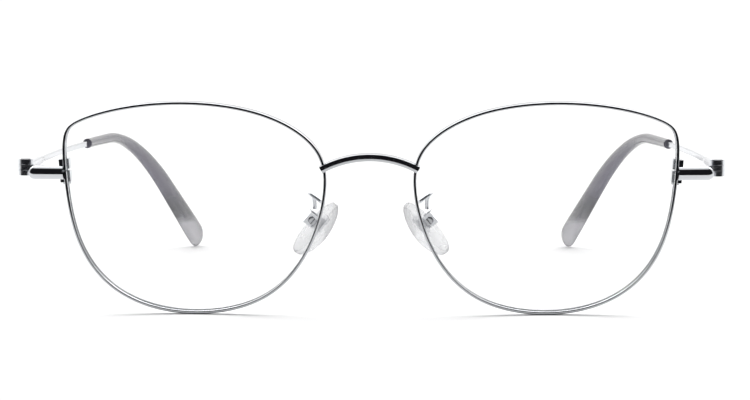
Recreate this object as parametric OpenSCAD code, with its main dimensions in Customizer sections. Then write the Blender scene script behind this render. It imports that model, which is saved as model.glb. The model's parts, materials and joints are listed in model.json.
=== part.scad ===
// Metal eyeglasses with soft cat-eye rims, open and standing on a table.
// +X is the wearer's left, -Y is the front, +Z is up. Millimetres.

/* [Lenses] */
// Width of one eye, between the middles of the rim wire
eye_w = 52; // [44:0.5:60]
// Height of one eye, between the middles of the rim wire
eye_h = 42; // [34:0.5:50]
// Distance between the two lens centres
lens_spacing = 68.8; // [64:0.2:84]
// Radius of the lens curve
base_r = 130; // [100:5:200]
// Lens thickness
lens_t = 1.6; // [1.2:0.1:1.8]

/* [Front] */
// Rim wire, seen from the front
rim_t = 0.65; // [0.5:0.05:1]
// Rim wire, front to back
rim_d = 1.9; // [1.9:0.1:2.4]
// Turn of each lens towards the temple
wrap = 2; // [0:0.5:8]
// Forward lean of the front, top to the front
tilt = 8; // [4:0.5:12]

/* [Bridge] */
// Height of the bridge bar
bridge_h = 1.5; // [1.2:0.1:2.2]
// Depth of the bridge bar
bridge_d = 2; // [1.6:0.1:2.4]
// Rise of the arch from its ends to its middle
bridge_rise = 2.4; // [2:0.1:4]

/* [Hinges] */
// Length of the end piece, from the rim outwards
lug_l = 7.4; // [7:0.1:10]
// Height of the end piece
lug_h = 2.7; // [2.2:0.1:3.2]
// Diameter of the hinge barrel
barrel_d = 3; // [2.6:0.1:3.2]
// Height of the hinge barrel, three knuckles
barrel_h = 3.3; // [3:0.1:4.2]
// Diameter of the hinge screw
screw_d = 1.2; // [1:0.1:1.4]

/* [Temples] */
// Distance from the hinge to the mouth of the tip cover
bare_l = 66; // [55:1:76]
// Height of the temple wire
wire_h = 1.2; // [1:0.1:1.5]
// Thickness of the temple wire
wire_t = 0.9; // [0.7:0.1:1.2]
// Outward turn of the temple where it leaves the hinge
splay = 1.2; // [0:0.1:3]
// Radius of the temple's slow bow inwards, seen from above
bow_r = 390; // [300:10:600]
// Radius of the bend over the ear
ear_r = 44; // [35:1:50]
// Slope of the drop behind the ear
drop = 46; // [40:1:52]
// Length of the bend-free part of the tip cover
cover_run = 18; // [14:1:26]

/* [Nose pads] */
// Length of one pad
pad_l = 13; // [11:0.5:15]
// Width of one pad
pad_w = 6.8; // [6:0.2:8]
// Thickness of one pad
pad_t = 2.6; // [2.2:0.1:3]
// Distance from the middle of the frame to each pad's screw
pad_x = 12; // [11.5:0.1:14]

/* [Hidden] */

metal = "silver";
fine = 96;

// Control points of the rim's closed curve: first the nose side, then down and round
CURVE = [
    [-26.5, 5], [-23, -9], [-13.5, -20], [4, -22], [17, -17.5], [24, -7.5], [25.5, 5.5],
    [26, 14.5], [23.5, 17], [14.5, 20], [1, 21.5], [-14, 19.5], [-24.5, 13]
];
SPANS = len(CURVE);
STEPS = SPANS * 8;

// The rim is cut at the temple side, where the two blocks and their screw close it
cut_at = 6.22;
cut_half = 0.015;
arm_at = 0.27;

// Depth of the lens curve, from 0 at the middle ring of the rim
sag_0 = base_r - sqrt(base_r * base_r - 23.5 * 23.5);
half_t = rim_t / 2;
half_d = rim_d / 2;
bevel_w = 0.35;
bevel_n = 0.05;

function control(i) = [
    CURVE[i % SPANS][0] * eye_w / 52,
    CURVE[i % SPANS][1] * eye_h / 42
];
function blend4(w, i) =
    w[0] * control(i - 1) + w[1] * control(i) + w[2] * control(i + 1) + w[3] * control(i + 2);
function spot_w(f) =
    [pow(1 - f, 3), 3 * f * f * f - 6 * f * f + 4, 3 * f * (1 + f - f * f) + 1, f * f * f] / 6;
function slope_w(f) = [-(1 - f) * (1 - f), f * (3 * f - 4), 1 + f * (2 - 3 * f), f * f] / 2;
function edge(t) = blend4(spot_w(t - floor(t)), floor(t) + SPANS);
function edge_out(t) =
    let (d = blend4(slope_w(t - floor(t)), floor(t) + SPANS))
    [d[1], -d[0]] / norm(d);
function depth(p) = base_r - sqrt(base_r * base_r - p * p) - sag_0;

// A point on the rim: n outwards from the middle line, w to the back
function rim_point(t, n, w) =
    let (p = edge(t) + n * edge_out(t))
    [p[0], depth(edge(t)) + w, p[1]];

STATIONS = [
    for (i = [0:STEPS]) cut_at + cut_half + (SPANS - 2 * cut_half) * i / STEPS
];

// From one lens's own axes to the front's, and from the front's to the table's
function to_front(p) = [
    p[0] * cos(wrap) - p[1] * sin(wrap) + lens_spacing / 2,
    p[0] * sin(wrap) + p[1] * cos(wrap),
    p[2]
];
function tip_over(p) = [
    p[0],
    p[1] * cos(tilt) - p[2] * sin(tilt),
    p[1] * sin(tilt) + p[2] * cos(tilt)
];
lift = -min([for (t = STATIONS, w = [-half_d, half_d])
    tip_over(to_front(rim_point(t, half_t - 0.1, w)))[2]]);
function to_table(p) = tip_over(to_front(p)) + [0, 0, lift];

module front_axes() {
    translate([0, 0, lift]) rotate([tilt, 0, 0]) children();
}

module lens_axes() {
    front_axes() translate([lens_spacing / 2, 0, 0]) rotate([0, 0, wrap]) children();
}

// The finished frame is centred front to back
module left_side() {
    translate([0, -mid_y, 0]) children();
}

module right_side() {
    mirror([1, 0, 0]) left_side() children();
}

// A solid from rings of points; each end is a fan of triangles about the ring's first point
module skin(rings) {
    m = len(rings);
    k = len(rings[0]);
    last = (m - 1) * k;
    sides = [
        for (i = [0:m - 2], j = [0:k - 1]) let (a = i * k + j, d = i * k + (j + 1) % k)
            each [[a, d + k, a + k], [a, d, d + k]]
    ];
    ends = [for (j = [1:k - 2]) each [[0, j + 1, j], [last, last + j, last + j + 1]]];
    polyhedron(points = [for (r = rings) each r], faces = concat(sides, ends), convexity = 6);
}

// ---- Rims and lenses ----

seat_n = -half_t + 0.03;
RIM_OUTER = [
    [half_t - 0.1, -half_d], [half_t, -half_d + 0.15],
    [half_t, half_d - 0.15], [half_t - 0.1, half_d]
];
RIM_PROFILE = concat(
    [[bevel_n, 0], [seat_n, -bevel_w], [seat_n, -half_d + 0.1], [seat_n + 0.1, -half_d]],
    RIM_OUTER,
    [[seat_n + 0.1, half_d], [seat_n, half_d - 0.1], [seat_n, bevel_w]]
);

module along_rim(profile, stations) {
    skin([for (t = stations) [for (q = profile) rim_point(t, q[0], q[1])]]);
}

module rim() {
    color(metal) lens_axes() along_rim(RIM_PROFILE, STATIONS);
}

function lens_ring(n, w) = [for (t = STATIONS) rim_point(t, n, w)];
function flat_ring(n, y) = [for (t = STATIONS) let (p = rim_point(t, n, 0)) [p[0], y, p[2]]];

module lens_plug() {
    skin([
        flat_ring(seat_n, 9), lens_ring(seat_n, bevel_w), lens_ring(bevel_n, 0),
        lens_ring(seat_n, -bevel_w), flat_ring(seat_n, -9)
    ]);
}

module curve_ball(r) {
    translate([0, base_r - sag_0, 0]) sphere(r = r, $fn = 160);
}

module lens() {
    color([0.9, 0.95, 1, 0.35]) lens_axes() difference() {
        intersection() {
            lens_plug();
            curve_ball(base_r + lens_t / 2);
        }
        curve_ball(base_r - lens_t / 2);
    }
}

// Axes at one place on the rim: +X out of the eye, +Y to the back, +Z along the wire
function axes(o, x, y, z) =
    [[x[0], y[0], z[0], o[0]], [x[1], y[1], z[1], o[1]], [x[2], y[2], z[2], o[2]], [0, 0, 0, 1]];
function rim_axes(t) =
    let (
        z = unit(rim_point(t + 0.01, 0, 0) - rim_point(t - 0.01, 0, 0)),
        n = edge_out(t),
        x = unit([n[0], 0, n[1]] - z * (z * [n[0], 0, n[1]]))
    )
    axes(rim_point(t, 0, 0), x, cross(z, x), z);
function unit(v) = v / norm(v);

module on_rim(t) {
    lens_axes() multmatrix(rim_axes(t)) children();
}

// What the rim and the lens's edge take up at one place, for a piece brazed there
module rim_room(t, front, back) {
    on_rim(t) translate([-4, -front, -5]) cube([4 + half_t, front + back, 10]);
}

// ---- Bridge ----

bridge_at = SPANS - 0.4;
nose_rim = to_front(rim_point(bridge_at, 0, 0));
bridge_half = nose_rim[0] + 0.4;
bridge_r = (bridge_half * bridge_half + bridge_rise * bridge_rise) / 2 / bridge_rise;
bridge_top = nose_rim[2] + bridge_rise;

module bridge() {
    half_turn = asin(bridge_half / bridge_r);
    color(metal) difference() {
        front_axes() translate([0, nose_rim[1] - half_d, bridge_top - bridge_r])
            rotate([90, 0, 0]) rotate([0, 0, 90 - half_turn])
                rotate_extrude(angle = 2 * half_turn, $fn = 200)
                    translate([bridge_r, 0]) bridge_section();
        rim_room(bridge_at, half_d + 0.08, 6);
        mirror([1, 0, 0]) rim_room(bridge_at, half_d + 0.08, 6);
    }
}

module bridge_section() {
    intersection() {
        circle(d = bridge_d * 1.15, $fn = fine);
        square([bridge_h, bridge_d], center = true);
    }
}

// ---- End piece, closing blocks and their screw, at the cut in the rim ----

corner = rim_point(cut_at, 0, 0);
lug_r = lug_h / 2;
lug_z = -0.4;
lug_back = 0.2;
block_back = 2.7;
block_w = 1.9;
block_gap = 0.3;
rim_screw_x = 0.35;
rim_screw_y = 1.85;
rim_screw_d = 0.9;

// At the cut, but level: the end piece runs straight out from the rim
module corner_axes() {
    lens_axes() translate(corner) children();
}

module lug_shape() {
    difference() {
        corner_axes() translate([0, lug_back - 0.55, lug_z]) {
            rotate([0, 90, 0]) cylinder(r = lug_r, h = lug_l - lug_r, $fn = fine);
            translate([lug_l - lug_r, 0, 0]) sphere(r = lug_r, $fn = fine);
        }
        on_rim(cut_at) translate([-1, lug_back, -5]) cube([lug_l + 3, 4, 10]);
    }
}

module end_piece() {
    color(metal) difference() {
        lug_shape();
        rim_room(cut_at, 4, 4);
    }
}

module rim_block(z_0, z_1, gap) {
    difference() {
        on_rim(cut_at) translate([-0.6, lug_back + gap, z_0])
            cube([block_w, block_back - lug_back - gap, z_1 - z_0]);
        rim_room(cut_at, 4, half_d + 0.04);
    }
}

module upper_rim_block() {
    color(metal) difference() {
        rim_block(block_gap / 2, 2.2, 0);
        on_rim(cut_at) translate([rim_screw_x, rim_screw_y, 0])
            cylinder(d = rim_screw_d, h = 1.7, $fn = fine);
    }
}

module lower_rim_block() {
    color(metal) difference() {
        rim_block(-2.4, -block_gap / 2, 0.05);
        on_rim(cut_at) translate([rim_screw_x, rim_screw_y, -4])
            cylinder(d = rim_screw_d, h = 5, $fn = fine);
    }
}

module rim_screw() {
    color(metal) on_rim(cut_at) translate([rim_screw_x, rim_screw_y, -2.9]) difference() {
        union() {
            cylinder(d = 1.6, h = 0.5, $fn = fine);
            cylinder(d = rim_screw_d, h = 4.6, $fn = fine);
        }
        translate([-1, -0.125, -0.1]) cube([2, 0.25, 0.35]);
    }
}

// ---- Hinge ----

knuckle = barrel_h / 3;
play = 0.04;
rise = 0.9;
lug_end = to_table(corner + [lug_l, lug_back, lug_z]);
hinge = [lug_end[0] + 0.9, lug_end[1] + barrel_d / 2 + 0.4, lug_end[2] + 0.85];

// The hinge leans back a little, so the temple rises slightly from it
module hinge_axes() {
    translate(hinge) rotate([rise, 0, 0]) children();
}

module front_hinge_leaf() {
    color(metal) difference() {
        hinge_axes() difference() {
            union() {
                translate([0, 0, play - knuckle / 2]) cylinder(d = barrel_d, h = knuckle - 2 * play, $fn = fine);
                translate([-4.2, -3, play - knuckle / 2]) cube([4.2, 2.1, knuckle - 2 * play]);
            }
            translate([0, 0, -2]) cylinder(d = screw_d + 2 * play, h = 4, $fn = fine);
            translate([-5, -8, -2]) cube([10, 8 - barrel_d / 2 - 0.7, 4]);
        }
        lug_shape();
    }
}

// The temple's own axes: +Y runs along the straight part of the temple
module temple_axes() {
    hinge_axes() rotate([0, 0, -splay]) children();
}

leaf_w = 1.3;
leaf_end = barrel_d / 2 + 1.1;
bar_h = 1.5;
bar_t = 1.3;
bar_z = 0;

module temple_hinge_leaf() {
    color(metal) temple_axes() difference() {
        union() {
            translate([0, 0, -barrel_h / 2]) cylinder(d = barrel_d, h = barrel_h, $fn = fine);
            translate([-leaf_w / 2, 0, -barrel_h / 2]) cube([leaf_w, leaf_end, barrel_h]);
        }
        translate([0, 0, -barrel_h]) cylinder(d = screw_d, h = 2 * barrel_h, $fn = fine);
        translate([0, 0, barrel_h / 2 - 0.4]) cylinder(d = screw_d + 0.8, h = 1, $fn = fine);
        translate([0, 0, -knuckle / 2]) cylinder(d = barrel_d + 0.2, h = knuckle, $fn = fine);
    }
}

module hinge_screw() {
    color(metal) hinge_axes() difference() {
        union() {
            translate([0, 0, -barrel_h / 2]) cylinder(d = screw_d, h = barrel_h - 0.2, $fn = fine);
            translate([0, 0, barrel_h / 2 - 0.4]) cylinder(d = screw_d + 0.8, h = 0.4, $fn = fine);
        }
        translate([-2, -0.15, barrel_h / 2 - 0.25]) cube([4, 0.3, 1]);
    }
}

// ---- Temple ----

bar_l = 17;
wire_z = bar_z;
core_d = 1.1;
core_short = 8;
tip_in = 20;
bow_0 = bar_l + 1.5;
bare_turn = (bare_l - bow_0) / bow_r * 180 / PI;
side_turn = bare_turn + cover_run / bow_r * 180 / PI;

function spin(axis, a, v) =
    v * cos(a) + cross(axis, v) * sin(a) + axis * (axis * v) * (1 - cos(a));

bend_start = on_side(side_turn)[0];
dir_1 = [-sin(side_turn), cos(side_turn), 0];
dir_2 = [
    -sin(side_turn + tip_in) * cos(drop), cos(side_turn + tip_in) * cos(drop), -sin(drop)
];
bend_turn = acos(dir_1 * dir_2);
bend_axis = cross(dir_1, dir_2) / sin(bend_turn);
bend_in = cross(bend_axis, dir_1);
bend_mid = bend_start + ear_r * bend_in;
bend_end = bend_mid + ear_r * (dir_1 * sin(bend_turn) - bend_in * cos(bend_turn));
bend_l = ear_r * bend_turn * PI / 180;

// A place on the temple's middle line: [point, across, up]
function on_side(a) = [
    [-bow_r * (1 - cos(a)), bow_0 + bow_r * sin(a), wire_z], [cos(a), sin(a), 0], [0, 0, 1]
];
function on_bend(a) = [
    bend_mid + ear_r * (dir_1 * sin(a) - bend_in * cos(a)),
    spin(bend_axis, a, [cos(side_turn), sin(side_turn), 0]),
    spin(bend_axis, a, [0, 0, 1])
];
function on_drop(s) = let (e = on_bend(bend_turn)) [e[0] + s * dir_2, e[1], e[2]];

// Height and thickness of the tip cover along its length, from 0 at the mouth to 1
TIP_H = [[0, 2.2], [0.35, 2.5], [0.5, 3.4], [0.68, 5], [0.92, 6.6], [1, 6.6]];
TIP_T = [[0, 2.2], [0.35, 2.5], [0.68, 2.9], [1, 3]];
tip_round = 3;

function tip_ring(place, s, l) =
    let (
        e = max(0, s - (l - tip_round)) / tip_round,
        f = sqrt(max(0.004, 1 - e * e)),
        h = lookup(s / l, TIP_H) / 2 * f,
        t = lookup(s / l, TIP_T) / 2 * f
    )
    [for (a = [0:22.5:359]) place[0] + place[1] * t * cos(a) + place[2] * h * sin(a)];

function tip_rings(drop_l) =
    let (l = cover_run + bend_l + drop_l)
    concat(
        [for (i = [0:5]) let (f = i / 6)
            tip_ring(on_side(bare_turn + (side_turn - bare_turn) * f), cover_run * f, l)],
        [for (i = [0:11]) let (f = i / 12) tip_ring(on_bend(bend_turn * f), cover_run + bend_l * f, l)],
        [for (i = [0:6]) let (s = (drop_l - tip_round) * i / 6)
            tip_ring(on_drop(s), cover_run + bend_l + s, l)],
        [for (i = [1:5]) let (s = drop_l - tip_round + tip_round * sin(90 * i / 5))
            tip_ring(on_drop(s), cover_run + bend_l + s, l)]
    );
function back(p) = p[1] * cos(splay) - p[0] * sin(splay);
function height(p) = back(p) * sin(rise) + p[2] * cos(rise);
function lowest(rings) = min([for (r = rings, p = r) height(p)]) + hinge[2];

// The drop is as long as it must be for the tip to reach the table
drop_l = 20 - lowest(tip_rings(20)) / height(dir_2);

// The middle of the whole frame, front to back
front_y = min(
    min([for (t = STATIONS, n = [-half_t, half_t]) to_table(rim_point(t, n, -half_d))[1]]),
    tip_over([0, nose_rim[1] - half_d - bridge_d / 2, bridge_top + bridge_h / 2])[1]
);
back_y = hinge[1] + max([
    for (r = tip_rings(drop_l), p = r) back(p) * cos(rise) - p[2] * sin(rise)
]);
mid_y = (front_y + back_y) / 2;

// The wire inside the tip cover, from just inside the bar
function round_ring(place, d) =
    [for (a = [0:30:359]) place[0] + place[1] * d / 2 * cos(a) + place[2] * d / 2 * sin(a)];
module core_end(lead) {
    skin(concat(
        lead > 0 ? [round_ring(on_side(bare_turn - lead), core_d)] : [],
        [for (i = [0:5]) round_ring(on_side(bare_turn + (side_turn - bare_turn) * i / 5), core_d)],
        [for (i = [0:12]) round_ring(on_bend(bend_turn * i / 12), core_d)],
        [round_ring(on_drop(drop_l - core_short), core_d)]
    ));
}

module stepped_bar(half_1, half_2) {
    polygon([
        [-half_1, leaf_end], [half_1, leaf_end], [half_1, bar_l], [half_2, bar_l + 1.5],
        [-half_2, bar_l + 1.5], [-half_1, bar_l]
    ]);
}

module temple_metal() {
    intersection() {
        translate([0, 0, wire_z - 2]) linear_extrude(4) stepped_bar(bar_t / 2, wire_t / 2);
        translate([2, 0, wire_z]) rotate([0, -90, 0])
            linear_extrude(4) stepped_bar(bar_h / 2, wire_h / 2);
    }
    translate([-bow_r, bow_0, wire_z]) rotate([0, 0, -0.05])
        rotate_extrude(angle = bare_turn + 0.05, $fn = 256)
        translate([bow_r, 0]) square([wire_t, wire_h], center = true);
    core_end(0);
}

module temple() {
    color(metal) temple_axes() temple_metal();
}

module temple_tip() {
    color([0.55, 0.53, 0.6, 0.8]) temple_axes() difference() {
        skin(tip_rings(drop_l));
        core_end(0.15);
    }
}

// ---- Nose pads ----

arm_d = 0.8;
arm_root = to_front(rim_point(arm_at, 0, half_d));
pad_at = [pad_x, arm_root[1] + 5.9, arm_root[2] - 4.4];
pad_lean = 40;
pad_splay = 20;
box_w = 2.3;
box_out = 1.3;
slot_w = 1.1;
pad_screw_d = 0.8;

module pad_axes() {
    front_axes() translate(pad_at) rotate([0, -pad_lean, 0]) rotate([0, 0, -pad_splay]) children();
}

// The arm's curve is drawn through the middles of these points' spans
ARM = [for (p = [
    [-0.2, -1.6, -0.2], [0, -0.4, 0], [0.2, 0.8, 0], [1.3, 1.3, 0.6], [2.4, 1.6, 1.3],
    [2.9, 2.8, 1.5], [2.6, 4.2, 1.1], [2, 5.2, 0.1]
]) arm_root + p];
ARM_ALL = concat(ARM, [for (k = [0, 1, 2]) pad_at + [-0.9 + 0.5 * k, 0.3 - 0.1 * k, 1.7 - 1.1 * k]]);
function arm_spot(i, f) =
    let (w = spot_w(f))
    w[0] * ARM_ALL[i] + w[1] * ARM_ALL[i + 1] + w[2] * ARM_ALL[i + 2] + w[3] * ARM_ALL[i + 3];
function arm_way(i, f) =
    let (w = slope_w(f))
    let (d = w[0] * ARM_ALL[i] + w[1] * ARM_ALL[i + 1] + w[2] * ARM_ALL[i + 2] + w[3] * ARM_ALL[i + 3])
    d / norm(d);
function arm_place(i, f) =
    let (d = arm_way(i, f), c = cross(d, [-0.4, -0.6, 0.7]), x = c / norm(c))
    [arm_spot(i, f), cross(x, d), x];

module pad_arm() {
    color(metal) difference() {
        front_axes() skin([
            for (i = [0:len(ARM_ALL) - 4], f = [0, 0.25, 0.5, 0.75]) round_ring(arm_place(i, f), arm_d)
        ]);
        on_rim(arm_at) translate([-1.5, half_d - 3, -1.5]) cube(3);
        pad_axes() box_block();
    }
}

module box_block() {
    translate([-box_out + 0.1, -box_w / 2, -1.25]) cube([2 * box_out, box_w, 2.5]);
}

module pad_box() {
    color(metal) pad_axes() difference() {
        box_block();
        translate([-2, -slot_w / 2, -2]) cube([2.8, slot_w, 4]);
        translate([0, 3, 0]) rotate([90, 0, 0]) cylinder(d = pad_screw_d, h = 6, $fn = fine);
    }
}

module pad_screw() {
    color(metal) pad_axes() difference() {
        rotate([90, 0, 0]) {
            translate([0, 0, -box_w / 2]) cylinder(d = pad_screw_d, h = box_w, $fn = fine);
            translate([0, 0, box_w / 2]) cylinder(d = 1.5, h = 0.4, $fn = fine);
        }
        translate([-0.11, -box_w / 2 - 0.5, -1]) cube([0.22, 0.3, 2]);
    }
}

pad_mid = -2.9;

module pad_tab() {
    difference() {
        union() {
            translate([0, slot_w / 2 - 0.07, 0]) rotate([90, 0, 0])
                cylinder(d = 1.5, h = slot_w - 0.14, $fn = fine);
            translate([pad_mid + 0.3, -slot_w / 2 + 0.07, -0.75])
                cube([-pad_mid - 0.3, slot_w - 0.14, 1.5]);
            translate([pad_mid - 0.1, -1.2, -2.2]) cube([0.6, 2.4, 4.4]);
        }
        translate([0, 3, 0]) rotate([90, 0, 0])
            cylinder(d = pad_screw_d + 0.08, h = 6, $fn = fine);
    }
}

module pad_insert() {
    color("white") pad_axes() pad_tab();
}

// The pad's outline is an egg, narrower at the top
module pad_outline() {
    polygon([for (a = [0:7.5:359])
        [pad_w / 2 * cos(a) * (1 - 0.14 * sin(a)), pad_l / 2 * sin(a)]]);
}

module nose_pad() {
    color([0.95, 0.96, 0.98, 0.6]) pad_axes() difference() {
        translate([pad_mid, 0, -1.1]) intersection() {
            translate([-pad_t, 0, 0]) rotate([90, 0, 90])
                linear_extrude(1.5 * pad_t) pad_outline();
            translate([17 - pad_t / 2, 0, 0]) sphere(r = 17, $fn = 160);
        }
        pad_tab();
    }
}

// ---- Nodes ----

right_side() rim();  // right_rim
left_side() rim();  // left_rim
right_side() lens();  // right_lens
left_side() lens();  // left_lens
left_side() bridge();
right_side() end_piece();  // right_end_piece
left_side() end_piece();  // left_end_piece
right_side() upper_rim_block();  // right_upper_rim_block
left_side() upper_rim_block();  // left_upper_rim_block
right_side() lower_rim_block();  // right_lower_rim_block
left_side() lower_rim_block();  // left_lower_rim_block
right_side() rim_screw();  // right_rim_screw
left_side() rim_screw();  // left_rim_screw
right_side() front_hinge_leaf();  // right_front_hinge_leaf
left_side() front_hinge_leaf();  // left_front_hinge_leaf
right_side() temple_hinge_leaf();  // right_temple_hinge_leaf
left_side() temple_hinge_leaf();  // left_temple_hinge_leaf
right_side() hinge_screw();  // right_hinge_screw
left_side() hinge_screw();  // left_hinge_screw
right_side() temple();  // right_temple
left_side() temple();  // left_temple
right_side() temple_tip();  // right_temple_tip
left_side() temple_tip();  // left_temple_tip
right_side() pad_arm();  // right_pad_arm
left_side() pad_arm();  // left_pad_arm
right_side() pad_box();  // right_pad_box
left_side() pad_box();  // left_pad_box
right_side() pad_screw();  // right_pad_screw
left_side() pad_screw();  // left_pad_screw
right_side() pad_insert();  // right_pad_insert
left_side() pad_insert();  // left_pad_insert
right_side() nose_pad();  // right_nose_pad
left_side() nose_pad();  // left_nose_pad
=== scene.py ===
"""Metal wire eyeglasses with soft cat-eye rims, finished over their CAD frame."""

import json
import math

import bmesh
import bpy
from mathutils import Matrix, Vector


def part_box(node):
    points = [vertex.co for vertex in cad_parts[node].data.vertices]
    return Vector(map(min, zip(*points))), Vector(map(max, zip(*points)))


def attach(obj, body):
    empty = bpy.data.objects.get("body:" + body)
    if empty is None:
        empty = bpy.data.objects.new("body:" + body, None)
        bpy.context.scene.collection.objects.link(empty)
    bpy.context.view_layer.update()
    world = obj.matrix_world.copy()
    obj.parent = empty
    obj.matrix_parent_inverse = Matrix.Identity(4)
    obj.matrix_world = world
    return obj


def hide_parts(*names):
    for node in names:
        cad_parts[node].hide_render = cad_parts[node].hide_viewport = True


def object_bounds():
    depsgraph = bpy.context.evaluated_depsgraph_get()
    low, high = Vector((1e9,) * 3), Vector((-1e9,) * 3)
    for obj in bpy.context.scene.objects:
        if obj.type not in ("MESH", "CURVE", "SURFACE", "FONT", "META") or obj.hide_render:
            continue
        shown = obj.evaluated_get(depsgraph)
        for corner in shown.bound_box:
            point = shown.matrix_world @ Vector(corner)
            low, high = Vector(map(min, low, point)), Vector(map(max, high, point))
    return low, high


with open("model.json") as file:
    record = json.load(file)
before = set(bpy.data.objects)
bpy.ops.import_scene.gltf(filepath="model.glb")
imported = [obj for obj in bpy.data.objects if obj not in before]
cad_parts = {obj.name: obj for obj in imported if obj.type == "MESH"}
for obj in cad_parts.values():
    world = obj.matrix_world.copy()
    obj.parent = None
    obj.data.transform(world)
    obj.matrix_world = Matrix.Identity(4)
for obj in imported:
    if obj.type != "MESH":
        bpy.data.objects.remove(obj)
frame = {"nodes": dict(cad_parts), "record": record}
CAD_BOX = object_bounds()
JOINTS = {j["name"]: j for j in frame["record"]["behaviour"]["joints"]}

bl_info = {
    "name": "Wire Eyeglasses",
    "version": (1, 0, 0),
    "blender": (4, 0, 0),
    "location": "View3D > Sidebar > Eyeglasses",
    "description": "Builds polished wire eyeglasses over their CAD frame",
    "category": "Object",
}

MM = 0.001

# The rim's closed curve on one eye, in millimetres from the lens centre: nose side first, then down
RIM_CONTROL = [
    (-26.5, 5), (-23, -9), (-13.5, -20), (4, -22), (17, -17.5), (24, -7.5), (25.5, 5.5),
    (26, 14.5), (23.5, 17), (14.5, 20), (1, 21.5), (-14, 19.5), (-24.5, 13),
]
SPANS = len(RIM_CONTROL)
CUT_AT = 6.22
ARM_AT = 0.27
BRIDGE_AT = SPANS - 0.4


# ---------------------------------------------------------------- sizes and colours

class EyeglassSizes(bpy.types.PropertyGroup):
    """Sizes of the pieces drawn here, in millimetres and degrees."""

    eye_w: bpy.props.FloatProperty(
        name="Eye width", description="Width of one rim between wire middles", default=52, min=44, max=60)
    eye_h: bpy.props.FloatProperty(
        name="Eye height", description="Height of one rim between wire middles", default=42, min=34, max=50)
    lens_spacing: bpy.props.FloatProperty(
        name="Lens spacing", description="Distance between the lens centres", default=68.8, min=64, max=84)
    base_r: bpy.props.FloatProperty(
        name="Lens curve", description="Radius of the lens curve", default=130, min=100, max=200)
    lens_t: bpy.props.FloatProperty(
        name="Lens thickness", description="Thickness of a lens", default=1.6, min=1.2, max=1.8)
    rim_t: bpy.props.FloatProperty(
        name="Rim width", description="Rim wire, seen from the front", default=0.65, min=0.5, max=1)
    rim_d: bpy.props.FloatProperty(
        name="Rim depth", description="Rim wire, front to back", default=1.9, min=1.9, max=2.4)
    wrap: bpy.props.FloatProperty(
        name="Wrap", description="Turn of a lens towards its temple, in degrees", default=2, min=0, max=8)
    tilt: bpy.props.FloatProperty(
        name="Tilt", description="Forward lean of the front, in degrees", default=8, min=4, max=12)
    bridge_h: bpy.props.FloatProperty(
        name="Bridge height", description="Height of the bridge bar", default=1.5, min=1.2, max=2.2)
    bridge_d: bpy.props.FloatProperty(
        name="Bridge depth", description="Depth of the bridge bar", default=2, min=1.6, max=2.4)
    bridge_rise: bpy.props.FloatProperty(
        name="Bridge rise", description="Rise of the arch from its ends", default=2.4, min=2, max=4)
    edge_round: bpy.props.FloatProperty(
        name="Edge rounding", description="Radius on the edges of the small metal fittings",
        default=0.07, min=0.02, max=0.15)


class EyeglassColours(bpy.types.PropertyGroup):
    """Colours and gloss of the finishes."""

    metal: bpy.props.FloatVectorProperty(
        name="Metal", description="Colour of the polished metal", subtype="COLOR", size=3,
        min=0, max=1, default=(0.52, 0.53, 0.55))
    metal_gloss: bpy.props.FloatProperty(
        name="Metal roughness", description="Mean roughness of the polished metal",
        subtype="FACTOR", default=0.09, min=0.02, max=0.5)
    tip: bpy.props.FloatVectorProperty(
        name="Tip", description="Colour of the smoky tip covers", subtype="COLOR", size=3,
        min=0, max=1, default=(0.2, 0.19, 0.24))
    tip_clear: bpy.props.FloatVectorProperty(
        name="Tip end", description="Colour of the clear ends of the tip covers", subtype="COLOR",
        size=3, min=0, max=1, default=(0.55, 0.54, 0.58))
    pad: bpy.props.FloatVectorProperty(
        name="Pad", description="Colour of the clear pads", subtype="COLOR", size=3,
        min=0, max=1, default=(0.93, 0.94, 0.96))
    lens: bpy.props.FloatVectorProperty(
        name="Lens", description="Faint colour of the lenses", subtype="COLOR", size=3,
        min=0, max=1, default=(0.9, 0.92, 0.94))


# ---------------------------------------------------------------- shader helpers

class Socket:
    """One shader value, so that sums on it add Math nodes."""

    def __init__(self, shader, link):
        self.shader = shader
        self.link = link

    def math(self, operation, other):
        return self.shader.add("ShaderNodeMath", {"operation": operation}, {0: self, 1: other})

    def __add__(self, other):
        return self.math("ADD", other)

    def __mul__(self, other):
        return self.math("MULTIPLY", other)

    def __pow__(self, other):
        return self.math("POWER", other)

    __radd__ = __add__
    __rmul__ = __mul__


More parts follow.
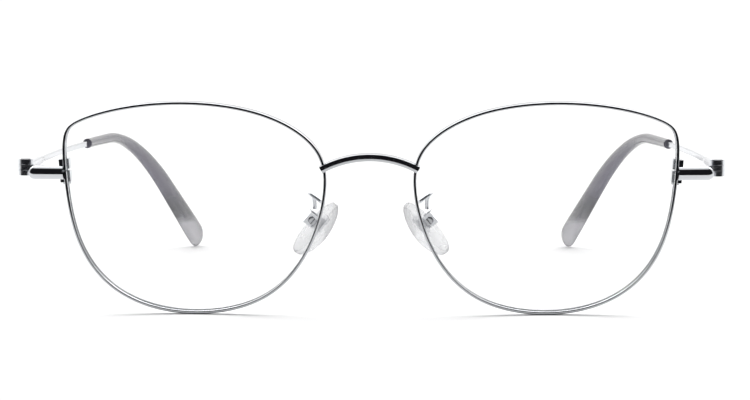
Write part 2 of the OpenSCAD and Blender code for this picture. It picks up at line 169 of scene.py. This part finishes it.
class Shader:
    """A node tree and the one way nodes are added to it."""

    def __init__(self, tree):
        self.tree = tree
        tree.nodes.clear()

    def node(self, kind, settings=None, inputs=None):
        made = self.tree.nodes.new(kind)
        for key, value in (settings or {}).items():
            if key == "stops":
                ramp = made.color_ramp.elements
                while len(ramp) < len(value):
                    ramp.new(1)
                for element, (place, colour) in zip(ramp, value):
                    element.position = place
                    element.color = (*colour, 1) if len(colour) == 3 else colour
            else:
                setattr(made, key, value)
        for key, value in (inputs or {}).items():
            if isinstance(value, Socket):
                self.tree.links.new(value.link, made.inputs[key])
            elif isinstance(value, bpy.types.NodeSocket):
                self.tree.links.new(value, made.inputs[key])
            else:
                made.inputs[key].default_value = value
        return made

    def add(self, kind, settings=None, inputs=None, output=0):
        return Socket(self, self.node(kind, settings, inputs).outputs[output])

    def noise(self, place, scale, detail=3.0, rough=0.5):
        return self.add("ShaderNodeTexNoise", None,
                        {"Vector": place, "Scale": scale, "Detail": detail, "Roughness": rough})

    def stretched(self, place, scale):
        return self.add("ShaderNodeMapping", None, {"Vector": place, "Scale": scale})

    def ramp(self, value, stops):
        return self.add("ShaderNodeValToRGB", {"stops": stops}, {"Fac": value})

    def mix(self, factor, a, b):
        made = self.node("ShaderNodeMix", {"data_type": "RGBA"}, {0: factor})
        for key, value in ((6, a), (7, b)):
            if isinstance(value, Socket):
                self.tree.links.new(value.link, made.inputs[key])
            else:
                made.inputs[key].default_value = (*value, 1)
        return Socket(self, made.outputs[2])

    def bump(self, height, strength, distance):
        return self.add("ShaderNodeBump", None,
                        {"Height": height, "Strength": strength, "Distance": distance})

    def finish(self, shader):
        self.node("ShaderNodeOutputMaterial", None, {"Surface": shader})


def new_material(name):
    material = bpy.data.materials.new(name)
    material.use_nodes = True
    shader = Shader(material.node_tree)
    place = shader.add("ShaderNodeTexCoord", output=3)
    return material, shader, place


def principled(shader, inputs):
    return shader.node("ShaderNodeBsdfPrincipled", None, inputs).outputs[0]


def polished_metal(name, colour, gloss, grain):
    """Plated metal: cloudy polish, hair-fine lines and a few dull rubbed spots."""
    material, s, place = new_material(name)
    cloud = s.noise(place, 160.0, 4.0)
    lines = s.noise(s.stretched(place, (1.0, 1.0, 14.0)), 900.0, 2.0, 0.7)
    rubbed = s.ramp(s.noise(place, 420.0, 2.0), [(0.62, (0, 0, 0)), (0.8, (1, 1, 1))])
    dark = tuple(0.9 * c for c in colour)
    s.finish(principled(s, {
        "Base Color": s.mix(cloud, colour, dark),
        "Metallic": 1.0,
        "Roughness": gloss * 0.7 + 0.06 * cloud + grain * lines + 0.1 * rubbed,
        "Normal": s.bump(lines, 0.05, 0.00002),
    }))
    return material


def lens_material(colour):
    """Coated clear lens: nearly unseen face on, a little denser where it is seen edge on."""
    material, s, place = new_material("coated lens")
    edge = s.add("ShaderNodeLayerWeight", None, {"Blend": 0.25}, output=1)
    dust = s.ramp(s.noise(place, 700.0, 2.0), [(0.66, (0, 0, 0)), (0.82, (1, 1, 1))])
    tint = s.mix(edge, colour, (0.6, 0.68, 0.7))
    s.finish(principled(s, {
        "Base Color": tint,
        "Roughness": 0.02 + 0.1 * dust,
        "IOR": 1.5,
        "Alpha": 0.04 + 0.02 * dust + 0.5 * edge ** 2.2,
    }))
    return material


def clear_plastic(name, colour, alpha, edge_alpha, edge_colour):
    """Clear moulded plastic: glassy edges, soft haze and fine moulding ripple."""
    material, s, place = new_material(name)
    edge = s.add("ShaderNodeLayerWeight", None, {"Blend": 0.6}, output=1)
    haze = s.noise(place, 300.0, 3.0)
    s.finish(principled(s, {
        "Base Color": s.mix(edge, colour, edge_colour),
        "Roughness": 0.05 + 0.14 * haze,
        "IOR": 1.45,
        "Coat Weight": 0.4,
        "Alpha": alpha + 0.1 * haze + edge_alpha * edge ** 2.0,
        "Normal": s.bump(haze, 0.1, 0.00005),
    }))
    return material


def tip_material(smoky, clear, start, end):
    """Smoky translucent cover, clear at its end, with streaks along it."""
    material, s, place = new_material("smoky tip cover")
    height = s.node("ShaderNodeSeparateXYZ", None, {"Vector": place}).outputs[2]
    span = s.add("ShaderNodeMapRange", None,
                 {"Value": height, "From Min": end * MM, "From Max": start * MM})
    edge = s.add("ShaderNodeLayerWeight", None, {"Blend": 0.45}, output=1)
    cloud = s.noise(s.stretched(place, (1.0, 0.4, 1.0)), 220.0, 4.0)
    deep = tuple(0.22 * c for c in smoky)
    zone = s.ramp(span, [(0.0, clear), (0.26, clear), (0.42, deep), (0.62, deep), (1.0, smoky)])
    rim = s.ramp(edge, [(0.35, (0, 0, 0)), (0.85, (1, 1, 1))])
    streak = s.mix(cloud, zone, tuple(1.25 * c for c in smoky))
    s.finish(principled(s, {
        "Base Color": s.mix(rim, s.mix(0.25, zone, streak), tuple(0.15 * c for c in smoky)),
        "Roughness": 0.1 + 0.14 * cloud,
        "IOR": 1.48,
        "Coat Weight": 0.5,
        "Alpha": 0.5 + 0.26 * span + 0.1 * cloud + 0.4 * rim,
        "Normal": s.bump(cloud, 0.12, 0.00006),
    }))
    return material


def floor_material():
    material, s, place = new_material("pale floor")
    grain = s.noise(place, 60.0, 5.0)
    s.finish(principled(s, {
        "Base Color": s.mix(grain, (0.93, 0.93, 0.93), (0.95, 0.95, 0.95)),
        "Roughness": 0.55 + 0.1 * grain,
        "Specular IOR Level": 0.2,
    }))
    return material


# ---------------------------------------------------------------- shape helpers

def rounded(points, radius, steps=3):
    """A closed profile with each corner turned by a small arc."""
    out = []
    count = len(points)
    for i, (point, r) in enumerate(zip(points, radius)):
        here = Vector(point)
        before = (Vector(points[i - 1]) - here)
        after = (Vector(points[(i + 1) % count]) - here)
        if r <= 0:
            out.append(here)
            continue
        reach = min(r, before.length / 2.1, after.length / 2.1)
        a, b = here + before.normalized() * reach, here + after.normalized() * reach
        for k in range(steps + 1):
            f = k / steps
            out.append(a * (1 - f) ** 2 + here * 2 * f * (1 - f) + b * f * f)
    return out


def skinned(name, rings, side=1):
    """A mesh object over rings of millimetre points; side -1 mirrors it to the wearer's right."""
    count = len(rings[0])
    points = [(side * p[0] * MM, p[1] * MM, p[2] * MM) for ring in rings for p in ring]
    faces = []
    for i in range(len(rings) - 1):
        for j in range(count):
            a, b = i * count + j, i * count + (j + 1) % count
            faces.append((a, b, b + count, a + count))
    last = (len(rings) - 1) * count
    faces.append(tuple(reversed(range(count))))
    faces.append(tuple(range(last, last + count)))
    return mesh_object(name, points, faces)


def mesh_object(name, points, faces, sharp=35):
    mesh = bpy.data.meshes.new(name)
    mesh.from_pydata(points, [], faces)
    tidy(mesh, sharp)
    thing = bpy.data.objects.new(name, mesh)
    bpy.context.scene.collection.objects.link(thing)
    return thing


def tidy(mesh, sharp):
    work = bmesh.new()
    work.from_mesh(mesh)
    bmesh.ops.remove_doubles(work, verts=work.verts, dist=1e-7)
    bmesh.ops.recalc_face_normals(work, faces=work.faces)
    work.to_mesh(mesh)
    work.free()
    mesh.shade_smooth()
    mesh.set_sharp_from_angle(angle=math.radians(sharp))


def bevelled(thing, width, segments=2, angle=30):
    made = thing.modifiers.new("edges", "BEVEL")
    made.width = width * MM
    made.segments = segments
    made.limit_method = "ANGLE"
    made.angle_limit = math.radians(angle)
    made.harden_normals = True
    return thing


def place_piece(thing, body, nodes, material):
    """Give a finished piece its material and its body, and hide the CAD nodes it stands for."""
    thing.data.materials.clear()
    thing.data.materials.append(material)
    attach(thing, body)
    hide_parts(*nodes)


def polished_copy(node, name, width):
    """A merged copy of a CAD node with softened edges."""
    source = frame["nodes"][node]
    mesh = source.data.copy()
    mesh.name = name
    work = bmesh.new()
    work.from_mesh(mesh)
    bmesh.ops.remove_doubles(work, verts=work.verts, dist=2e-6)
    bmesh.ops.dissolve_limit(work, angle_limit=math.radians(1), verts=work.verts, edges=work.edges)
    work.to_mesh(mesh)
    work.free()
    mesh.shade_smooth()
    mesh.set_sharp_from_angle(angle=math.radians(30))
    thing = bpy.data.objects.new(name, mesh)
    bpy.context.scene.collection.objects.link(thing)
    return bevelled(thing, width)


def swept_wire(name, points, radius, material, side):
    """Round wire along a path, made by Geometry Nodes and turned to a plain mesh."""
    curve = bpy.data.curves.new(name, "CURVE")
    curve.dimensions = "3D"
    spline = curve.splines.new("POLY")
    spline.points.add(len(points) - 1)
    for spot, p in zip(spline.points, points):
        spot.co = (side * p[0] * MM, p[1] * MM, p[2] * MM, 1)
    source = bpy.data.objects.new(name + "_path", curve)
    bpy.context.scene.collection.objects.link(source)

    tree = bpy.data.node_groups.new("wire along a path", "GeometryNodeTree")
    face = tree.interface
    face.new_socket("Geometry", in_out="INPUT", socket_type="NodeSocketGeometry")
    wide = face.new_socket("Wire radius", in_out="INPUT", socket_type="NodeSocketFloat")
    face.new_socket("Geometry", in_out="OUTPUT", socket_type="NodeSocketGeometry")
    nodes, links = tree.nodes, tree.links
    start, end = nodes.new("NodeGroupInput"), nodes.new("NodeGroupOutput")
    ring = nodes.new("GeometryNodeCurvePrimitiveCircle")
    ring.inputs["Resolution"].default_value = 20
    sweep = nodes.new("GeometryNodeCurveToMesh")
    sweep.inputs["Fill Caps"].default_value = True
    smooth = nodes.new("GeometryNodeSetShadeSmooth")
    real = nodes.new("GeometryNodeRealizeInstances")
    paint = nodes.new("GeometryNodeSetMaterial")
    paint.inputs["Material"].default_value = material
    links.new(start.outputs["Wire radius"], ring.inputs["Radius"])
    links.new(start.outputs["Geometry"], sweep.inputs["Curve"])
    links.new(ring.outputs[0], sweep.inputs["Profile Curve"])
    links.new(sweep.outputs[0], smooth.inputs[0])
    links.new(smooth.outputs[0], real.inputs[0])
    links.new(real.outputs[0], paint.inputs["Geometry"])
    links.new(paint.outputs[0], end.inputs[0])

    made = source.modifiers.new("wire", "NODES")
    made.node_group = tree
    made[wide.identifier] = radius * MM
    graph = bpy.context.evaluated_depsgraph_get()
    mesh = bpy.data.meshes.new_from_object(source.evaluated_get(graph))
    source.modifiers.remove(made)
    bpy.data.objects.remove(source)
    tidy(mesh, 50)
    thing = bpy.data.objects.new(name, mesh)
    bpy.context.scene.collection.objects.link(thing)
    return thing


# ---------------------------------------------------------------- the frame's own curves

class Layout:
    """Places on the front, in millimetres, from the sizes and the CAD frame."""

    def __init__(self, sizes):
        self.s = sizes
        self.half_t, self.half_d = sizes.rim_t / 2, sizes.rim_d / 2
        self.sag_0 = sizes.base_r - math.sqrt(sizes.base_r ** 2 - 23.5 ** 2)
        self.shift = Vector((0, 0, 0))
        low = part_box("left_rim")[0]
        ys, zs = [], []
        for i in range(SPANS * 8):
            for n in (-self.half_t, self.half_t):
                for w in (-self.half_d, self.half_d):
                    p = self.to_table(self.rim_point(i / 8, n, w))
                    ys.append(p.y)
                    zs.append(p.z)
        self.shift = Vector((0, low[1] / MM - min(ys), low[2] / MM - min(zs)))

    def control(self, i):
        x, z = RIM_CONTROL[i % SPANS]
        return Vector((x * self.s.eye_w / 52, z * self.s.eye_h / 42))

    def edge(self, t):
        i, f = math.floor(t), t - math.floor(t)
        w = ((1 - f) ** 3, 3 * f ** 3 - 6 * f * f + 4, 3 * f * (1 + f - f * f) + 1, f ** 3)
        return sum((self.control(i + k - 1) * w[k] for k in range(4)), Vector((0, 0))) / 6

    def edge_out(self, t):
        i, f = math.floor(t), t - math.floor(t)
        w = (-(1 - f) ** 2, f * (3 * f - 4), 1 + f * (2 - 3 * f), f * f)
        d = sum((self.control(i + k - 1) * w[k] for k in range(4)), Vector((0, 0)))
        return Vector((d.y, -d.x)).normalized()

    def depth(self, p):
        return self.s.base_r - math.sqrt(self.s.base_r ** 2 - p.length_squared) - self.sag_0

    def rim_point(self, t, n, w):
        p = self.edge(t) + n * self.edge_out(t)
        return Vector((p.x, self.depth(self.edge(t)) + w, p.y))

    def to_front(self, p):
        turn = Matrix.Rotation(math.radians(self.s.wrap), 3, "Z")
        return turn @ p + Vector((self.s.lens_spacing / 2, 0, 0))

    def tip_over(self, p):
        return Matrix.Rotation(math.radians(self.s.tilt), 3, "X") @ p + self.shift

    def to_table(self, p):
        return self.tip_over(self.to_front(p))


HINGE = Vector(JOINTS["left_temple_hinge"]["pos_m"]) / MM
HINGE_UP = Vector(JOINTS["left_temple_hinge"]["axis"])
SPLAY, BOW_R, BAR_L, BARE_L, COVER_RUN = math.radians(1.2), 390.0, 17.0, 66.0, 18.0
EAR_R, DROP, TIP_IN = 44.0, math.radians(46), math.radians(20)
BOW_0 = BAR_L + 1.5
BARE_TURN = (BARE_L - BOW_0) / BOW_R
SIDE_TURN = BARE_TURN + COVER_RUN / BOW_R


class TemplePath:
    """The middle line of the left temple, from its hinge to the end of its tip."""

    def __init__(self):
        rise = math.atan2(-HINGE_UP.y, HINGE_UP.z)
        self.turn = Matrix.Rotation(rise, 3, "X") @ Matrix.Rotation(-SPLAY, 3, "Z")
        d1 = Vector((-math.sin(SIDE_TURN), math.cos(SIDE_TURN), 0))
        self.d2 = Vector((-math.sin(SIDE_TURN + TIP_IN) * math.cos(DROP),
                          math.cos(SIDE_TURN + TIP_IN) * math.cos(DROP), -math.sin(DROP)))
        self.bend_turn = d1.angle(self.d2)
        self.axis = d1.cross(self.d2).normalized()
        self.d1, self.inward = d1, self.axis.cross(d1)
        self.bend_start = self.side(SIDE_TURN)[0]
        self.bend_mid = self.bend_start + EAR_R * self.inward
        self.bend_l = EAR_R * self.bend_turn
        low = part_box("left_temple_tip")[0][2] / MM
        self.drop_l = 20.0
        bottom = min(p.z for ring in self.tip_rings() for p in ring)
        self.drop_l += (bottom - low) / -(self.turn @ self.d2).z

    def side(self, a):
        return (Vector((-BOW_R * (1 - math.cos(a)), BOW_0 + BOW_R * math.sin(a), 0)),
                Vector((math.cos(a), math.sin(a), 0)), Vector((0, 0, 1)))

    def bend(self, a):
        spin = Matrix.Rotation(a, 3, self.axis)
        across = Vector((math.cos(SIDE_TURN), math.sin(SIDE_TURN), 0))
        spot = self.bend_mid + EAR_R * (self.d1 * math.sin(a) - self.inward * math.cos(a))
        return spot, spin @ across, spin @ Vector((0, 0, 1))

    def place(self, s):
        """The place s millimetres along from the mouth of the tip cover."""
        if s <= COVER_RUN:
            return self.side(BARE_TURN + s / BOW_R)
        if s <= COVER_RUN + self.bend_l:
            return self.bend((s - COVER_RUN) / EAR_R)
        spot, across, up = self.bend(self.bend_turn)
        return spot + (s - COVER_RUN - self.bend_l) * self.d2, across, up

    def length(self):
        return COVER_RUN + self.bend_l + self.drop_l

    def table(self, p):
        return self.turn @ p + HINGE

    def ring(self, s, half_t, half_h, power=1.0, count=28):
        """A closed ring about the path; power below 1 squares it off."""
        spot, across, up = self.place(s)
        out = []
        for k in range(count):
            a = 2 * math.pi * k / count
            c, d = math.cos(a), math.sin(a)
            x = math.copysign(abs(c) ** power, c)
            z = math.copysign(abs(d) ** power, d)
            out.append(self.table(spot + across * half_t * x + up * half_h * z))
        return out

    def tip_rings(self, count=28):
        total = self.length()
        end = 3.0
        stops = [total * i / 90 for i in range(91) if total * i / 90 < total - end]
        stops += [total - end + end * math.sin(math.radians(90 * i / 10)) for i in range(11)]
        rings = []
        for s in stops:
            e = max(0.0, s - (total - end)) / end
            f = math.sqrt(max(0.004, 1 - e * e))
            h = lookup(s / total, TIP_H) / 2 * f
            t = lookup(s / total, TIP_T) / 2 * f
            rings.append(self.ring(s, t, h, 1.0, count))
        return rings


TIP_H = [(0, 2.2), (0.35, 2.5), (0.5, 3.4), (0.68, 5), (0.92, 6.6), (1, 6.6)]
TIP_T = [(0, 2.2), (0.35, 2.5), (0.68, 2.9), (1, 3)]


def lookup(x, table):
    for (a, u), (b, v) in zip(table, table[1:]):
        if x <= b:
            return u + (v - u) * (x - a) / (b - a)
    return table[-1][1]


def settings():
    scene = bpy.context.scene
    return scene.eyeglass_sizes, scene.eyeglass_colours


MATERIALS = {}


def material(name):
    """The finish of that name, made the first time it is asked for."""
    if not MATERIALS:
        colours = settings()[1]
        metal, gloss = tuple(colours.metal), colours.metal_gloss
        MATERIALS["rim"] = polished_metal("plated rim wire", metal, gloss, 0.03)
        MATERIALS["fitting"] = polished_metal("plated fittings", tuple(1.2 * c for c in metal), gloss, 0.02)
        # The hinge plating is a lighter copy of the metal, a painted highlight, and it is also rougher.
        MATERIALS["hinge"] = polished_metal(
            "hinge plating lightened as painted highlight", tuple(1.35 * c for c in metal), gloss * 2.6, 0.06)
        MATERIALS["temple"] = polished_metal(
            "plated temple wire", tuple(1.3 * c for c in metal), gloss * 1.3, 0.04)
        MATERIALS["screw"] = polished_metal("turned steel", tuple(0.85 * c for c in metal), 0.16, 0.1)
        MATERIALS["lens"] = lens_material(tuple(colours.lens))
        MATERIALS["pad"] = clear_plastic("clear pad", tuple(colours.pad), 0.1, 0.9, (0.12, 0.13, 0.15))
        MATERIALS["insert"] = clear_plastic("clear insert", tuple(colours.pad), 0.25, 0.5, (0.45, 0.46, 0.5))
        MATERIALS["tip"] = tip_material(tuple(colours.tip), tuple(colours.tip_clear), 16, 3)
    return MATERIALS[name]


# ---------------------------------------------------------------- operators

class EYEGLASSES_OT_rims(bpy.types.Operator):
    """Draw both rims as fine flat wire with a groove inside"""

    bl_idname = "eyeglasses.rims"
    bl_label = "Rims"

    def execute(self, context):
        lay = Layout(settings()[0])
        seat, t, d = -lay.half_t + 0.03, lay.half_t, lay.half_d
        corners = [(0.05, 0), (seat, -0.35), (seat, -d), (t, -d), (t, d), (seat, d), (seat, 0.35)]
        profile = rounded(corners, [0, 0, 0.28, 0.3, 0.16, 0.13, 0], 6)
        steps = SPANS * 26
        stops = [CUT_AT + 0.015 + (SPANS - 0.03) * i / steps for i in range(steps + 1)]
        rings = [[lay.to_table(lay.rim_point(s, q.x, q.y)) for q in profile] for s in stops]
        for side, word in ((1, "left"), (-1, "right")):
            rim = skinned(word + "_rim_wire", rings, side=side)
            place_piece(rim, "front", [word + "_rim"], material("rim"))
        return {"FINISHED"}


class EYEGLASSES_OT_lenses(bpy.types.Operator):
    """Draw both lenses as curved clear plates with a bevelled edge"""

    bl_idname = "eyeglasses.lenses"
    bl_label = "Lenses"

    def execute(self, context):
        sizes = settings()[0]
        lay = Layout(sizes)
        count, half = SPANS * 16, sizes.lens_t / 2
        seat = -lay.half_t + 0.03

        def layer(f, w):
            ring = []
            for i in range(count):
                t = i / 16
                p = (lay.edge(t) + seat * lay.edge_out(t)) * f
                ring.append(lay.to_table(Vector((p.x, lay.depth(p) + w, p.y))))
            return ring

        steps = 18
        fronts = [layer(math.sin(math.radians(90 * k / steps)) * 0.999, -half) for k in range(1, steps + 1)]
        backs = [layer(math.sin(math.radians(90 * k / steps)) * 0.999, half) for k in range(1, steps + 1)]
        apex = [lay.to_table(lay.rim_point(i / 16, 0.03, 0)) for i in range(count)]
        seats = [[lay.to_table(lay.rim_point(i / 16, seat, w)) for i in range(count)] for w in (-0.33, 0.33)]
        rings = fronts + [seats[0], apex, seats[1]] + backs[::-1]
        for side, word in ((1, "left"), (-1, "right")):
            lens = skinned(word + "_clear_lens", rings, side=side)
            place_piece(lens, "front", [word + "_lens"], material("lens"))
        return {"FINISHED"}


class EYEGLASSES_OT_bridge(bpy.types.Operator):
    """Draw the arched bridge bar with a crowned face"""

    bl_idname = "eyeglasses.bridge"
    bl_label = "Bridge"

    def execute(self, context):
        sizes = settings()[0]
        lay = Layout(sizes)
        rim = lay.to_front(lay.rim_point(BRIDGE_AT, 0, 0))
        half = rim.x + 0.4
        radius = (half * half + sizes.bridge_rise ** 2) / 2 / sizes.bridge_rise
        top = rim.z + sizes.bridge_rise
        high, deep = sizes.bridge_h / 2, sizes.bridge_d / 2
        corners = [(-high, -deep), (high, -deep), (high, deep), (-high, deep)]
        section = rounded(corners, [0.7, 0.22, 0.3, 0.35], 8)
        reach = math.asin((half + 0.1) / radius)
        rings = []
        for i in range(73):
            a = reach * (i / 36 - 1)
            rings.append([lay.tip_over(Vector((
                (radius + q.x) * math.sin(a), rim.y - lay.half_d + q.y,
                top - radius + (radius + q.x) * math.cos(a)))) for q in section])
        bridge = skinned("bridge_bar", rings)
        place_piece(bridge, "front", ["bridge"], material("rim"))
        return {"FINISHED"}


class EYEGLASSES_OT_fittings(bpy.types.Operator):
    """Soften and finish the end pieces, blocks, hinges, pad boxes and screws"""

    bl_idname = "eyeglasses.fittings"
    bl_label = "Fittings and screws"

    def execute(self, context):
        width = settings()[0].edge_round
        bodies = frame["record"]["behaviour"]["bodies"]
        owner = {node: body for body, nodes in bodies.items() for node in nodes}
        plain = ["end_piece", "upper_rim_block", "lower_rim_block", "front_hinge_leaf",
                 "temple_hinge_leaf", "pad_box"]
        screws = ["rim_screw", "hinge_screw", "pad_screw"]
        for word in ("left", "right"):
            for kind in plain + screws:
                node = word + "_" + kind
                is_screw = kind in screws
                piece = polished_copy(node, node + "_finished", width * (0.5 if is_screw else 1))
                place_piece(piece, owner[node], [node],
                            material("screw" if is_screw else "hinge" if "hinge" in kind else "fitting"))
            node = word + "_pad_insert"
            piece = polished_copy(node, node + "_finished", 0.12)
            place_piece(piece, owner[node], [node], material("insert"))
        return {"FINISHED"}


class EYEGLASSES_OT_temples(bpy.types.Operator):
    """Draw each temple as a flat bar that steps down to wire and to the core in its tip"""

    bl_idname = "eyeglasses.temples"
    bl_label = "Temples"

    def execute(self, context):
        path = TemplePath()
        wire = []
        for y in (2.62, 4, 8, 12, 16, 16.9, 17.3, 17.8, 18.3):
            f = min(max((y - 17) / 1.5, 0), 1)
            half_t, half_h = 0.65 + f * (0.45 - 0.65), 0.75 + f * (0.6 - 0.75)
            ring = []
            for k in range(28):
                a = 2 * math.pi * k / 28
                x = math.copysign(abs(math.cos(a)) ** 0.35, math.cos(a))
                z = math.copysign(abs(math.sin(a)) ** 0.35, math.sin(a))
                ring.append(path.table(Vector((x * half_t, y, z * half_h))))
            wire.append(ring)
        for i in range(25):
            a = -(BARE_L - BOW_0) * (1 - i / 24)
            wire.append(path.ring(a, 0.45, 0.6, 0.35))
        end = path.length() - 8
        for i in range(61):
            wire.append(path.ring(0.05 + (end - 0.05) * i / 60, 0.53, 0.53))
        for side, word in ((1, "left"), (-1, "right")):
            temple = skinned(word + "_temple_wire", wire, side=side)
            place_piece(temple, word + "_temple_arm", [word + "_temple"], material("temple"))
        return {"FINISHED"}


class EYEGLASSES_OT_tips(bpy.types.Operator):
    """Draw the smoky translucent tip covers"""

    bl_idname = "eyeglasses.tips"
    bl_label = "Temple tips"

    def execute(self, context):
        rings = TemplePath().tip_rings(40)
        for side, word in ((1, "left"), (-1, "right")):
            tip = skinned(word + "_tip_cover", rings, side=side)
            place_piece(tip, word + "_temple_arm", [word + "_temple_tip"], material("tip"))
        return {"FINISHED"}


# The pad arm's bends, from where it leaves the rim, and the pad screw's place from there
ARM_BENDS = [
    (-0.2, -1.6, -0.2), (0, -0.4, 0), (0.2, 0.8, 0), (1.3, 1.3, 0.6), (2.4, 1.6, 1.3),
    (2.9, 2.8, 1.5), (2.6, 4.2, 1.1), (2, 5.2, 0.1),
]
PAD_BACK, PAD_DOWN, PAD_X = 5.9, -4.4, 12.0
PAD_LEAN, PAD_SPLAY = math.radians(40), math.radians(20)


class EYEGLASSES_OT_pad_arms(bpy.types.Operator):
    """Sweep the round wire of the pad arms along their bends"""

    bl_idname = "eyeglasses.pad_arms"
    bl_label = "Pad arms"

    def execute(self, context):
        lay = Layout(settings()[0])
        root = lay.to_front(lay.rim_point(ARM_AT, 0, lay.half_d))
        pad = Vector((PAD_X, root.y + PAD_BACK, root.z + PAD_DOWN))
        bends = [root + Vector(p) for p in ARM_BENDS]
        bends += [pad + Vector((-0.9 + 0.5 * k, 0.3 - 0.1 * k, 1.7 - 1.1 * k)) for k in range(3)]
        points = []
        for i in range(1, len(bends) - 3):
            for k in range(10):
                f = k / 10
                w = ((1 - f) ** 3, 3 * f ** 3 - 6 * f * f + 4, 3 * f * (1 + f - f * f) + 1, f ** 3)
                spot = sum((bends[i + j] * w[j] for j in range(4)), Vector()) / 6
                points.append(lay.tip_over(spot))
        for side, word in ((1, "left"), (-1, "right")):
            arm = swept_wire(word + "_pad_arm_wire", points[:-9], 0.4, material("fitting"), side)
            place_piece(arm, "front", [word + "_pad_arm"], material("fitting"))
        return {"FINISHED"}


class EYEGLASSES_OT_nose_pads(bpy.types.Operator):
    """Draw the clear egg-shaped nose pads"""

    bl_idname = "eyeglasses.nose_pads"
    bl_label = "Nose pads"

    def execute(self, context):
        pivot = Vector(JOINTS["left_pad_rock"]["pos_m"]) / MM
        turn = (Matrix.Rotation(math.radians(settings()[0].tilt), 3, "X")
                @ Matrix.Rotation(-PAD_LEAN, 3, "Y") @ Matrix.Rotation(-PAD_SPLAY, 3, "Z"))
        count, wide, tall, thick = 72, 3.4, 6.5, 2.6
        dome = 17.0

        def ring(f, x, lift):
            out = []
            for k in range(count):
                a = 2 * math.pi * k / count
                y = wide * math.cos(a) * (1 - 0.14 * math.sin(a)) * f
                z = tall * math.sin(a) * f
                skin = dome - thick / 2 - math.sqrt(dome * dome - y * y - z * z)
                out.append(pivot + turn @ Vector((-2.9 + (skin + lift if x is None else x), y, z - 1.1)))
            return out

        rings = [ring(math.sin(math.radians(90 * k / 14)) * 0.94, None, 0.02) for k in range(1, 15)]
        rings += [ring(0.975, None, 0.12), ring(0.992, None, 0.3), ring(0.992, 1.0, 0), ring(0.97, 1.2, 0)]
        rings += [ring(math.cos(math.radians(90 * k / 10)) * 0.93, 1.26, 0) for k in range(10)]
        for side, word in ((1, "left"), (-1, "right")):
            pad = skinned(word + "_clear_pad", rings, side=side)
            place_piece(pad, word + "_pad", [word + "_nose_pad"], material("pad"))
        return {"FINISHED"}


class EYEGLASSES_OT_stage(bpy.types.Operator):
    """Lay the floor, the soft light and the camera"""

    bl_idname = "eyeglasses.stage"
    bl_label = "Stage"

    def execute(self, context):
        scene = context.scene
        floor = mesh_object("floor", [(-9, -0.12, 0), (9, -0.12, 0), (9, 60, 0), (-9, 60, 0)], [(0, 1, 2, 3)])
        low = min(CAD_BOX[0][2], 0)
        for vertex in floor.data.vertices:
            vertex.co.z = low
        floor.data.materials.append(floor_material())

        world = bpy.data.worlds.new("studio")
        world.use_nodes = True
        scene.world = world
        s = Shader(world.node_tree)
        ray = s.node("ShaderNodeTexCoord").outputs[0]
        split = s.node("ShaderNodeSeparateXYZ", None, {"Vector": ray})
        across, up = Socket(s, split.outputs[1]), Socket(s, split.outputs[2])
        behind = s.add("ShaderNodeMapRange", None, {"Value": across, "From Min": -0.12, "From Max": 0.05})
        above = s.add("ShaderNodeMapRange", None, {"Value": up, "From Min": 0.9, "From Max": 0.97})
        light = s.add("ShaderNodeMath", {"operation": "MAXIMUM"}, {0: behind, 1: above})
        studio = s.mix(light, (0.012, 0.012, 0.014), (1, 1, 1))
        backdrop = s.add("ShaderNodeLightPath")
        glow = s.node("ShaderNodeBackground", None,
                      {"Color": s.mix(backdrop, studio, (1, 1, 1)), "Strength": 1.05})
        s.node("ShaderNodeOutputWorld", None, {"Surface": glow.outputs[0]})

        lamps = (("rear_left", (0.45, 0.75, 0.8), 1.5), ("rear_right", (-0.45, 0.75, 0.8), 1.4))
        for name, place, power in lamps:
            lamp = bpy.data.lights.new(name, "SUN")
            lamp.angle, lamp.energy = math.radians(50), power
            thing = bpy.data.objects.new(name, lamp)
            thing.rotation_euler = (-Vector(place)).to_track_quat("-Z", "Y").to_euler()
            scene.collection.objects.link(thing)

        eye = Vector((9.33, 0, 55.58)) * MM
        aim = Vector((0.98, 0, 22.8)) * MM
        aim.y = HINGE.y * MM - 2.88 * MM
        eye.y = aim.y - 0.39857
        camera = bpy.data.cameras.new("camera")
        camera.lens, camera.sensor_width = 97.92, 36.0
        camera.clip_start = 0.01
        thing = bpy.data.objects.new("camera", camera)
        thing.location = eye
        thing.rotation_euler = (aim - eye).to_track_quat("-Z", "Y").to_euler()
        scene.collection.objects.link(thing)
        scene.camera = thing
        scene.view_settings.view_transform = "Standard"
        return {"FINISHED"}


PIECES = (
    EYEGLASSES_OT_rims, EYEGLASSES_OT_lenses, EYEGLASSES_OT_bridge, EYEGLASSES_OT_fittings,
    EYEGLASSES_OT_temples, EYEGLASSES_OT_tips, EYEGLASSES_OT_pad_arms, EYEGLASSES_OT_nose_pads,
    EYEGLASSES_OT_stage,
)


class EYEGLASSES_PT_panel(bpy.types.Panel):
    """The eyeglasses' pieces and sizes"""

    bl_idname = "EYEGLASSES_PT_panel"
    bl_label = "Wire Eyeglasses"
    bl_space_type = "VIEW_3D"
    bl_region_type = "UI"
    bl_category = "Eyeglasses"

    def draw(self, context):
        for piece in PIECES:
            self.layout.operator(piece.bl_idname)
        for group in (context.scene.eyeglass_sizes, context.scene.eyeglass_colours):
            for key in group.bl_rna.properties.keys():
                if key not in ("rna_type", "name"):
                    self.layout.prop(group, key)


CLASSES = (EyeglassSizes, EyeglassColours, *PIECES, EYEGLASSES_PT_panel)


def register():
    for item in CLASSES:
        bpy.utils.register_class(item)
    bpy.types.Scene.eyeglass_sizes = bpy.props.PointerProperty(type=EyeglassSizes)
    bpy.types.Scene.eyeglass_colours = bpy.props.PointerProperty(type=EyeglassColours)


def unregister():
    del bpy.types.Scene.eyeglass_colours
    del bpy.types.Scene.eyeglass_sizes
    for item in reversed(CLASSES):
        bpy.utils.unregister_class(item)


def main():
    register()
    for piece in PIECES:
        group, name = piece.bl_idname.split(".")
        getattr(getattr(bpy.ops, group), name)()


if __name__ == "__main__":
    main()
